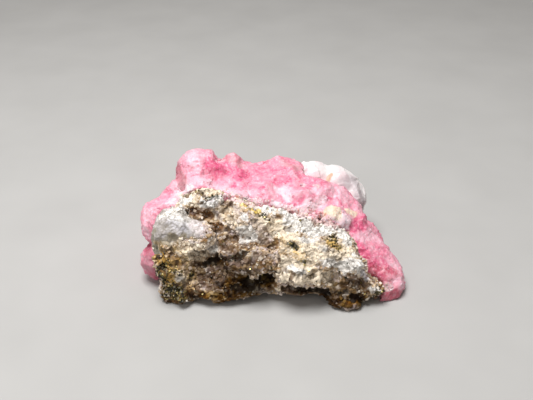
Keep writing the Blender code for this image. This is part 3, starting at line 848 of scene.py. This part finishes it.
def swellMaterial():
    # Milky vein quartz: greasy grey-white, light sinks a little way in, with faint brown feathers and painted
    # shade under its bulge
    material, tree, coords = newMaterial("greyMilkyQuartz")
    fine = noiseOf(tree, coords, 0.4, 3.0, 0.6)
    broad = noiseOf(tree, coords, 1.8, 3.0, 0.6)
    drawnOut = {"Vector": coords, "Scale": (1.0, 1.0, 0.22), "Rotation": (0.0, 0.4, 0.0)}
    streak = noiseOf(tree, add(tree, "Mapping", drawnOut).outputs["Vector"], 0.35, 3.0, 0.6)
    tone = sumOf(tree, broad, 0.5, times(tree, level(tree, "tone"), 0.15))
    tone = sumOf(tree, streak, 0.35, tone)
    shade = ramp(tree, tone, [(0.36, "#A59E9B"), (0.50, "#CEC6C5"), (0.62, "#F1EBEB")])
    shade = layered(tree, shade, [
        ("white", "#F7F4EF", 0.75, 0.9, 0.5), ("blue", "#B9B8C0", 0.6, 0.6, 0.6),
        ("lilac", "#F6EAEC", 0.85, 0.6, 0.5), ("warm", "#EADCC8", 0.7, 0.8, 0.35),
        # the dark layer is partly brown staining, partly painted shade under the bulge
        ("steel", "#8F8986", 0.75, 0.9, 0.5), ("dark", "#857657", 0.75, 0.8, 0.35),
        ("olive", "#918C6E", 0.8, 0.8, 0.35),
    ], streak)
    grit = [(0.1, "#6A5230"), (0.4, "#A98E64"), (0.7, "#D9C8AC"), (0.95, "#F2E8D8")]
    seam = remapped(tree, sumOf(tree, fine, 0.8, level(tree, "seam")), 0.6, 1.2)
    shade = mixed(tree, seam, shade, ramp(tree, level(tree, "tone"), grit))
    crack = remapped(tree, sumOf(tree, fine, 0.8, level(tree, "gap")), 0.6, 1.4, 0.0, 0.5)
    shade = mixed(tree, crack, shade, "#7E745F")
    looks = {"Base Color": shade, "Roughness": 0.4, "IOR": 1.54, **sunkLight(0.3, (1.0, 0.95, 0.9), 0.6)}
    finishMaterial(tree, looks, fine, depth=0.06, strength=0.5)
    return material


greySwell.data.materials.append(swellMaterial())
rimRecipe = {
    "seed": 23, "count": 650, "sizes": (0.25, 0.75), "rarity": 1.4, "lean": 0.4, "rise": -0.05,
    "everywhere": 0.0, "more": {"rim": 1.0},
}
rimGrains = crust("rimGrains", greySwell, grainShapes, rimRecipe)
rimGrains.data.materials.append(rockMaterial("rimQuartzGrains", True))
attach(rimGrains, "root")
print("grey swell ready", len(greySwell.data.polygons))


# Rhodochrosite: the pink vein
pinkRecipe = {
    "roundingCell": 0.35, "rounding": 2, "growth": 0.12, "skinCell": 0.222,
    "lumps": {"size": 3.0, "height": 0.25, "noise_depth": 1},
    "coarse": {"seed": 15, "size": 2.8, "flat": 0.6, "tilt": 0.05, "step": 0.06,
               "crack": 0.0, "crackWidth": 0.1, "crystals": 26, "cleavage": 0.35},
    "middle": {"seed": 15, "size": 1.5, "flat": 0.5, "tilt": 0.12, "step": 0.06,
               "crack": 0.0, "crackWidth": 0.1, "crystals": 26, "cleavage": 0.2},
    "fine": {"seed": 15, "size": 0.75, "flat": 0.7, "tilt": 0.25, "step": 0.06,
             "crack": 0.03, "crackWidth": 0.25, "crystals": 26, "cleavage": 0.1},
    "back": {"seed": 19, "size": 5.5, "flat": 0.85, "tilt": 0.1, "step": 0.25,
             "crack": 0.0, "crackWidth": 0.1, "crystals": 26, "cleavage": 0.5},
    "backWay": (0, 0.85, -0.53),      # the way that the back faces; its cleavage faces are broad
    "backSpread": 1.5, "backShift": 0.1,
    "calmed": 0.9,
    "coarseShare": 0.4, "coarseGap": 0.0,
    "roughness": [{"pattern": "CLOUDS", "size": 0.5, "height": 0.15, "noise_depth": 1}],
    "reliefSpan": 0.4,
    "wander": (1.6, 0.9),
    "pressed": {"deep": 0.12, "recede": 0.9, "shoulder": 2.3, "fill": -0.9},
    "bulgesOn": ["rhodochrosite", "matrix", "grey_quartz"],
    "bulges": {
        "buffLumps": [
            (332, 211, 1.6, 0.35), (349, 213, 1.2, 0.3), (340, 218, 1.6, 0.3), (346, 221, 1.3, 0.3),
        ],
        "upperLeftLobe": [
            (156, 214, 1.6, 0.45), (160, 210, 1.6, 0.5), (166, 206, 1.4, 0.6), (154, 220, 1.3, 0.5),
        ],
        "rubble": [
            (226, 196, 0.9, 0.5), (234, 198, 0.9, 0.5), (242, 200, 0.9, 0.5), (250, 203, 0.9, 0.5),
            (258, 203, 0.8, 0.5), (289, 207, 1.0, 0.5), (297, 212, 1.0, 0.5), (305, 215, 1.0, 0.5),
            (313, 218, 1.0, 0.5), (322, 220, 1.0, 0.5), (331, 222, 1.0, 0.5), (340, 224, 1.0, 0.5),
        ],
    },
    "blocks": {
        "leftSkyline": [
            (-7.4, 9.9, 19.4), (-10.0, 9.6, 18.3), (-4.8, 9.8, 17.2), (-10.6, 6.2, 16.7),
            (-5.4, 6.2, 16.7), (-3.6, 7.0, 15.4), (-7.5, 13.0, 15.5), (-10.4, 12.0, 14.6),
            (-4.0, 12.4, 14.2),
        ],
        "rightSkyline": [
            (1.2, 10.6, 18.3), (-1.4, 10.4, 16.8), (5.8, 10.8, 16.7), (-1.2, 7.2, 16.2), (3.6, 6.6, 16.5),
            (6.4, 7.4, 15.4), (1.0, 13.6, 14.5), (6.0, 13.0, 14.5), (-2.4, 8.0, 14.6),
        ],
        "turret": [
            (-18.2, 9.2, 16.6), (-16.6, 9.4, 18.2), (-15.0, 9.4, 19.8), (-11.9, 9.4, 19.9),
            (-10.2, 9.3, 18.5), (-17.0, 5.6, 17.8), (-12.2, 5.6, 18.2), (-14.8, 4.2, 17.4),
            (-15.0, 13.0, 16.8), (-17.8, 8.0, 13.8), (-11.0, 12.0, 14.0),
        ],
        "tip": [
            (24.7, -7.4, 3.4), (23.2, -3.0, 4.4), (22.2, -9.6, 4.8), (24.7, -9.6, 1.2), (23.4, -11.5, 0.1),
            (19.5, -12.8, 0.1), (20.0, -12.3, 1.7), (22.0, -4.0, 1.0),
        ],
        "besideTurret": [
            (-12.0, 8.0, 20.1), (-10.4, 8.0, 18.9), (-12.5, 5.3, 18.1), (-10.7, 5.6, 16.8),
            (-8.8, 6.4, 17.6), (-11.0, 4.0, 15.5), (-9.1, 4.6, 15.5), (-10.8, 10.0, 15.0),
        ],
        "rightShoulder": [
            (6.1, 7.0, 16.2), (10.4, 4.5, 15.6), (13.9, 5.2, 14.3), (15.8, 5.0, 12.4), (17.5, 3.6, 10.1),
            (18.2, 2.5, 9.2), (5.4, 3.0, 13.7), (9.4, 0.6, 14.1), (13.1, -0.2, 13.2), (15.9, -0.6, 11.3),
            (11.7, 9.0, 11.2), (16.8, 8.0, 7.1), (7.7, 9.0, 11.2),
        ],
        "flank": [
            (14.9, -3.9, 9.5), (16.9, -6.9, 8.4), (18.3, -9.2, 6.5), (20.6, -10.8, 2.6), (19.5, 0.8, 7.9),
            (21.4, -2.6, 6.6), (22.8, -5.6, 5.2), (23.6, -8.3, 3.8), (18.0, -2.0, 2.0), (21.0, -6.0, 1.0),
        ],
        "underBuffLumps": [
            (10.3, -3.4, 13.0), (14.4, -2.4, 11.9), (14.6, -3.8, 10.2), (12.9, -4.8, 10.6),
            (10.6, -4.6, 11.4), (12.6, 0.0, 9.0),
        ],
    },
}
pinkPaint = {
    "deep": [
        (2.1, 1.0, (212, 165), (226, 167), (241, 171)), (1.4, 0.9, (220, 172), (238, 176)),
        (1.9, 0.7, (252, 173), (268, 170), (284, 171)), (1.6, 0.5, (250, 178), (270, 179)),
        (0.8, 1.0, (234, 184), (242, 179), (250, 174)), (0.8, 0.9, (258, 187), (262, 186)),
        (1.6, 0.8, (274, 180), (288, 179)), (1.4, 0.4, (298, 175), (312, 178), (323, 182)),
        (1.2, 0.7, (294, 201), (301, 198)), (0.5, 0.8, (326, 199), (336, 198), (345, 206)),
        (1.8, 0.9, (355, 228), (359, 224), (368, 220)), (2.2, 1.0, (358, 246), (366, 258), (376, 272)),
        (1.2, 0.7, (384, 262), (392, 272)), (1.5, 1.0, (141, 240), (151, 245)),
        (1.4, 0.5, (157, 207), (163, 214)), (1.2, 0.4, (151, 225), (153, 238)),
    ],
    "pale": [
        (1.8, 1.0, (145, 229), (149, 235)), (0.9, 0.8, (345, 222), (350, 225)),
        (1.0, 0.8, (305, 199), (311, 201)), (2.6, 0.5, (184, 157), (196, 158), (194, 165)),
        (1.2, 0.7, (246, 170), (250, 171)), (1.6, 0.5, (158, 200), (176, 192)),
        (1.8, 0.8, (200, 180), (212, 184)), (1.2, 0.8, (255, 183), (262, 183)),
        (1.8, 0.9, (224, 188), (242, 193)), (1.2, 0.8, (308, 190), (320, 191)),
        (1.6, 0.8, (358, 237), (368, 232), (377, 238)), (2.0, 0.7, (393, 277), (402, 284)),
        (1.2, 0.6, (386, 262), (392, 266)), (1.8, 0.7, (146, 215), (153, 209)),
        (1.4, 0.6, (146, 262), (150, 268)), (1.8, 0.6, (325, 190), (345, 196)),
        (1.4, 0.7, (205, 183), (218, 188)), (2.0, 0.6, (272, 190), (296, 196)),
    ],
    "veil": [
        (2.0, 1.0, (180, 191), (187, 187)), (1.6, 1.0, (170, 194), (178, 189)),
        (2.6, 0.9, (171, 187), (176, 182)), (1.3, 0.8, (170, 200), (182, 199)),
        (1.7, 0.7, (281, 191), (290, 198)), (1.4, 0.9, (312, 206), (321, 201)),
        (1.5, 1.0, (334, 222), (345, 225)), (1.3, 0.9, (338, 216), (349, 219)),
        (0.9, 0.8, (246, 199), (254, 202)), (1.2, 0.7, (300, 208), (308, 206)),
        (1.1, 1.0, (272, 203), (280, 206)), (1.3, 0.9, (328, 221), (337, 219)),
        (1.2, 0.8, (160, 203), (166, 199)),
    ],
    "red": [
        (2.6, 0.95, (381, 299), (393, 296)), (1.6, 0.8, (370, 278), (378, 282)),
        (1.4, 0.7, (366, 260), (374, 272)), (1.5, 1.0, (374, 270), (384, 271), (395, 273)),
        (1.2, 0.7, (383, 278), (390, 281)),
    ],
    # painted shade with a brownish tint: the turret's shaded left side and the darker sides of the two
    # skyline corners
    "teaAndShade": [
        (1.6, 0.9, (177, 166), (180, 176), (182, 182)), (1.5, 0.8, (224, 158), (233, 157), (240, 161)),
        (1.5, 0.8, (283, 162), (296, 167)),
    ],
    "crisp": [
        (3.0, 1.0, (224, 161), (233, 156), (242, 162)), (3.0, 1.0, (266, 165), (278, 160), (290, 165)),
        (2.6, 0.9, (180, 160), (191, 152), (209, 153), (216, 159)),
        (1.5, 0.5, (384, 301), (396, 299), (402, 286)),
    ],
    "cream": [
        (1.7, 1.0, (327, 212), (333, 210), (336, 212)), (1.2, 0.9, (347, 213), (352, 214)),
        (0.6, 0.6, (379, 289), (387, 288)), (0.9, 0.7, (183, 196), (190, 198)),
    ],
    "mix": [
        (1.8, 1.0, (290, 211), (305, 215), (325, 221), (331, 223)), (1.2, 0.8, (240, 200), (262, 203)),
        (0.9, 0.7, (379, 289), (388, 288)), (0.7, 0.7, (303, 184), (306, 185)),
        (0.6, 0.6, (315, 186), (318, 187)), (1.2, 0.7, (222, 193), (236, 198)),
    ],
    "salmon": [
        (0.5, 1.0, (321, 213), (325, 214)), (0.5, 1.0, (329, 218), (331, 219)),
        (0.5, 0.9, (298, 219), (302, 219)),
    ],
    # painted shade: the lower left lobes, the tip's underside and the turret's shaded left side are darkened
    "paintedShade": [
        (3.0, 0.9, (147, 262), (158, 280)), (3.0, 0.5, (380, 302), (398, 298)),
        (1.4, 0.7, (177, 168), (180, 176), (182, 182)), (1.6, 1.0, (144, 238), (147, 247), (148, 258)),
    ],
    "recede": [
        (2.8, 0.9, (368, 216), (373, 224), (378, 232)), (1.2, 0.5, (140, 258), (139, 268)),
        (1.1, 0.9, (151, 243), (154, 250)), (1.3, 0.7, (243, 162), (254, 163), (264, 164)),
        (1.3, 0.6, (217, 159), (223, 160)),
    ],
    "shoulder": [
        (3.0, 0.65, (160, 197), (167, 191)), (2.7, 1.0, (169, 189), (175, 183)),
        (1.5, 0.43, (152, 203), (155, 199)),
    ],
    "fill": [
        (1.4, 1.0, (329, 220), (337, 221), (346, 222)), (1.0, 0.6, (312, 208), (320, 210)),
        (2.4, 0.55, (359, 209), (363, 216)),
    ],
    "calm": [
        (2.2, 1.0, (358, 232), (366, 245), (374, 258), (384, 272)),
        (2.2, 1.0, (370, 222), (381, 240), (393, 260)), (2.0, 0.8, (388, 276), (398, 284)),
    ],
}

pinkVein = skinOf("rhodochrosite", "pinkVein", pinkRecipe, pinkPaint)
pressIn(pinkVein, pinkRecipe["pressed"])
pinkBase = readPoints(pinkVein)
turnedAway = pinkRecipe["backSpread"] * readNormals(pinkVein) @ np.array(pinkRecipe["backWay"])
behind = np.clip(turnedAway + pinkRecipe["backShift"], 0, 1)
writeLayer(pinkVein, "behind", behind)
granulate(pinkVein, pinkRecipe, "back")
writePoints(pinkVein, pinkBase + behind[:, None] * (readPoints(pinkVein) - pinkBase))
coarsePink = granulate(pinkVein, pinkRecipe, "coarse")
calm = pinkRecipe["calmed"] * readLayer(pinkVein, "calm")[:, None]
writePoints(pinkVein, (1 - calm) * readPoints(pinkVein) + calm * pinkBase)
granulate(pinkVein, pinkRecipe, "middle")
finePink = granulate(pinkVein, pinkRecipe, "fine")
finishGrains(pinkVein, pinkRecipe, pinkBase, coarsePink, finePink)
standOnFloor(pinkVein)
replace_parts(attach(pinkVein, "root"), "rhodochrosite")


def pinkMaterial(name):
    # Massive rhodochrosite: rose pink with milky veils, light sinks into it, a pearly gloss on its cleavages;
    # painted shade on the lower lobes, the tip and beside the skyline
    material, tree, coords = newMaterial(name)
    fine = noiseOf(tree, coords, 0.5, 3.0, 0.6)
    broad = noiseOf(tree, coords, 3.6, 5.0, 0.62)
    own = level(tree, "tone")
    tone = sumOf(tree, broad, 0.8, times(tree, own, 0.2))
    shade = ramp(tree, tone, [(0.32, "#E57896"), (0.45, "#EB8EA6"), (0.56, "#EFA2B5"), (0.70, "#F4BECB")])
    breakup = sumOf(tree, broad, 0.7, times(tree, fine, 0.3))
    shade = layered(tree, shade, [
        ("pale", "#F7CEDA", 0.7, 1.2, 0.6), ("veil", "#F9E6EC", 0.85, 1.2, 0.6),
        ("deep", "#DA4E7C", 0.92, 0.5, 0.6), ("red", "#C8586C", 0.8, 0.8, 0.5),
        # the first layer on the next line is painted shade with a brownish tint
        ("teaAndShade", "#CC8A90", 0.6, 0.6, 0.5), ("cream", "#F4E4C4", 0.85, 0.5, 0.45),
        ("salmon", "#E0907A", 0.75, 0.6, 0.4),
    ], breakup)
    scree = [(0.1, "#B08A92"), (0.3, "#F7EDEA"), (0.5, "#EFA9B8"), (0.7, "#E6D9D8"), (0.9, "#D8927C")]
    rubble = remapped(tree, level(tree, "mix"), 0.2, 0.7, 0.0, 0.85)
    shade = mixed(tree, rubble, shade, ramp(tree, own, scree))
    zones = noiseOf(tree, coords, 6.5, 3.0, 0.55)
    milky = times(tree, remapped(tree, zones, 0.48, 0.36, 0.0, 0.75), level(tree, "behind"))
    shade = mixed(tree, milky, shade, "#F9E6EC")
    rosy = times(tree, remapped(tree, zones, 0.50, 0.62, 0.0, 0.8), level(tree, "behind"))
    shade = mixed(tree, rosy, shade, "#DA4E7C")
    mottle = remapped(tree, noiseOf(tree, coords, 0.9, 2.0, 0.5), 0.45, 0.75, 0.0, 0.28)
    flecks = remapped(tree, noiseOf(tree, coords, 0.35, 2.0, 0.5), 0.50, 0.72, 0.0, 0.38)
    shade = mixed(tree, figure(tree, "MAXIMUM", mottle, flecks), shade, "#FCE6EE")
    crack = remapped(tree, sumOf(tree, fine, 0.8, level(tree, "gap")), 0.6, 1.4, 0.0, 0.15)
    shade = mixed(tree, crack, shade, "#CF6C88")
    # painted shade multiplied in
    shade = mixed(tree, times(tree, level(tree, "paintedShade"), 0.8), shade, "#AE7E88", "MULTIPLY")
    looks = {"Base Color": shade, "Roughness": 0.5, "IOR": 1.6, **sunkLight(0.25, (1.0, 0.5, 0.5), 0.7)}
    finishMaterial(tree, looks, fine, depth=0.06, strength=0.6)
    return material


pinkVein.data.materials.append(pinkMaterial("massiveRhodochrosite"))
print("pink vein ready", len(pinkVein.data.polygons))


# Small rhombs on the pink vein
cornerUp = 54.74      # degrees that stand a cube on its corner, once it is turned by 45


def cutRhomb():
    # stood on its corner and pressed along that diagonal, a cube becomes a rhomb
    bpy.ops.transform.rotate(value=math.radians(45), orient_axis="Z", center_override=(0, 0, 0))
    bpy.ops.transform.rotate(value=math.radians(cornerUp), orient_axis="Y", center_override=(0, 0, 0))
    bpy.ops.transform.resize(value=(1, 1, 0.75), center_override=(0, 0, 0))


rhombShapes = [modelled("rhomb", "cube", cutRhomb, size=0.8)]
rhombRecipe = {
    "seed": 41, "count": 1500, "sizes": (0.28, 0.8), "rarity": 2.0, "lean": 0.3, "rise": -0.28,
    "everywhere": 0.8, "more": {"veil": 2.0, "mix": 12.0, "teaAndShade": -1.0},
}
smallRhombs = crust("smallRhombs", pinkVein, rhombShapes, rhombRecipe)
smallRhombs.data.materials.append(pinkMaterial("rhodochrositeRhombs"))
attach(smallRhombs, "root")
print("small rhombs ready", len(smallRhombs.data.polygons))


# Milky knob: the smooth white lump on the right shoulder
knobRecipe = {
    "roundingCell": 0.3, "rounding": 8, "growth": 0.2, "skinCell": 0.2,
    "lumps": {"size": 3.0, "height": 0.3, "noise_depth": 0},
    "coarse": {"seed": 17, "size": 2.6, "flat": 0.55, "tilt": 0.14, "step": 0.08,
               "crack": 0.03, "crackWidth": 0.12},
    "roughness": {"pattern": "CLOUDS", "size": 0.9, "height": 0.16, "noise_depth": 2},
    "wander": (1.6, 0.5),
    "pressed": {"recede": 1.1},
}
knobPaint = {
    "tan": [(0.6, 1.0, (327, 181), (332, 174))],
    # painted shade: the knob's right side is greyed
    "grey": [
        (2.4, 0.8, (345, 183), (353, 182), (360, 190), (362, 202)),
        (1.6, 1.0, (362, 190), (365, 200), (362, 208)),
    ],
    "rose": [
        (1.6, 0.8, (306, 174), (318, 176), (326, 182), (340, 188)), (1.6, 0.5, (336, 172), (345, 176)),
    ],
    "recede": [
        (1.7, 1.0, (300, 163), (300, 169)), (1.2, 0.5, (305, 162)), (2.2, 0.8, (366, 190), (369, 203)),
    ],
}

milkyKnob = skinOf("quartz_knob", "milkyKnob", knobRecipe, knobPaint)
pressIn(milkyKnob, knobRecipe["pressed"])
granulate(milkyKnob, knobRecipe, "coarse")
relief(milkyKnob, **knobRecipe["roughness"])
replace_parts(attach(milkyKnob, "root"), "quartz_knob")


def knobMaterial():
    # Milky quartz: white with a breath of pink, waxy, light sinks into it; painted shade greys its right side
    material, tree, coords = newMaterial("milkyQuartz")
    broad = noiseOf(tree, coords, 2.6, 3.0, 0.5)
    fine = noiseOf(tree, coords, 0.5, 2.0, 0.5)
    shade = ramp(tree, broad, [(0.30, "#F2E6E7"), (0.50, "#F8F2F1"), (0.68, "#FCF9F7")])
    # the grey layer is painted shade on the knob's right side
    shade = layered(tree, shade, [("rose", "#F0B9C4", 0.6, 0.4, 0.8), ("grey", "#AFA0A6", 0.8, 0.4, 0.8),
                                  ("tan", "#D3A682", 0.8, 0.5, 0.4)], fine)
    looks = {"Base Color": shade, "Roughness": 0.5, "IOR": 1.54, **sunkLight(0.35, (1.0, 0.85, 0.85), 1.0)}
    finishMaterial(tree, looks, fine, depth=0.05, strength=0.5)
    return material


milkyKnob.data.materials.append(knobMaterial())
print("milky knob ready", len(milkyKnob.data.polygons))


# Floor and light
studio = {
    "floorSize": 1.2, "aim": (0, 0, 0.01),      # m
    "key": {"place": (-0.05, -0.03, 0.295), "size": 0.16, "power": 1.03},
    "fill": {"place": (-0.22, -0.18, 0.16), "size": 0.25, "power": 0.14},
    "sky": 0.27,
}


def floorMaterial():
    # Matt pale grey studio card, very slightly mottled
    material, tree, coords = newMaterial("studioCard")
    shade = ramp(tree, noiseOf(tree, coords, 18.0, 2.0, 0.5), [(0.3, "#B4B3B1"), (0.7, "#B9B8B6")])
    finishMaterial(tree, {"Base Color": shade, "Roughness": 0.9})
    return material


def softLight(name, place, size, power):
    bpy.ops.object.light_add(type="AREA", location=place)
    light = bpy.context.object
    light.name = name
    light.data.shape = "DISK"
    light.data.size = size
    light.data.energy = power
    light.rotation_euler = (Vector(studio["aim"]) - Vector(place)).to_track_quat("-Z", "Y").to_euler()


bpy.ops.mesh.primitive_plane_add(size=studio["floorSize"])
floor = bpy.context.object
floor.name = "floor"
floor.data.materials.append(floorMaterial())
softLight("keyLight", **studio["key"])
softLight("fillLight", **studio["fill"])

world = bpy.data.worlds.new("studioSky")
bpy.context.scene.world = world
world.use_nodes = True
sky = world.node_tree.nodes["Background"].inputs
sky["Color"].default_value = colour("#FBF5EE")
sky["Strength"].default_value = studio["sky"]
bpy.context.scene.view_settings.view_transform = "Standard"
print("studio ready")
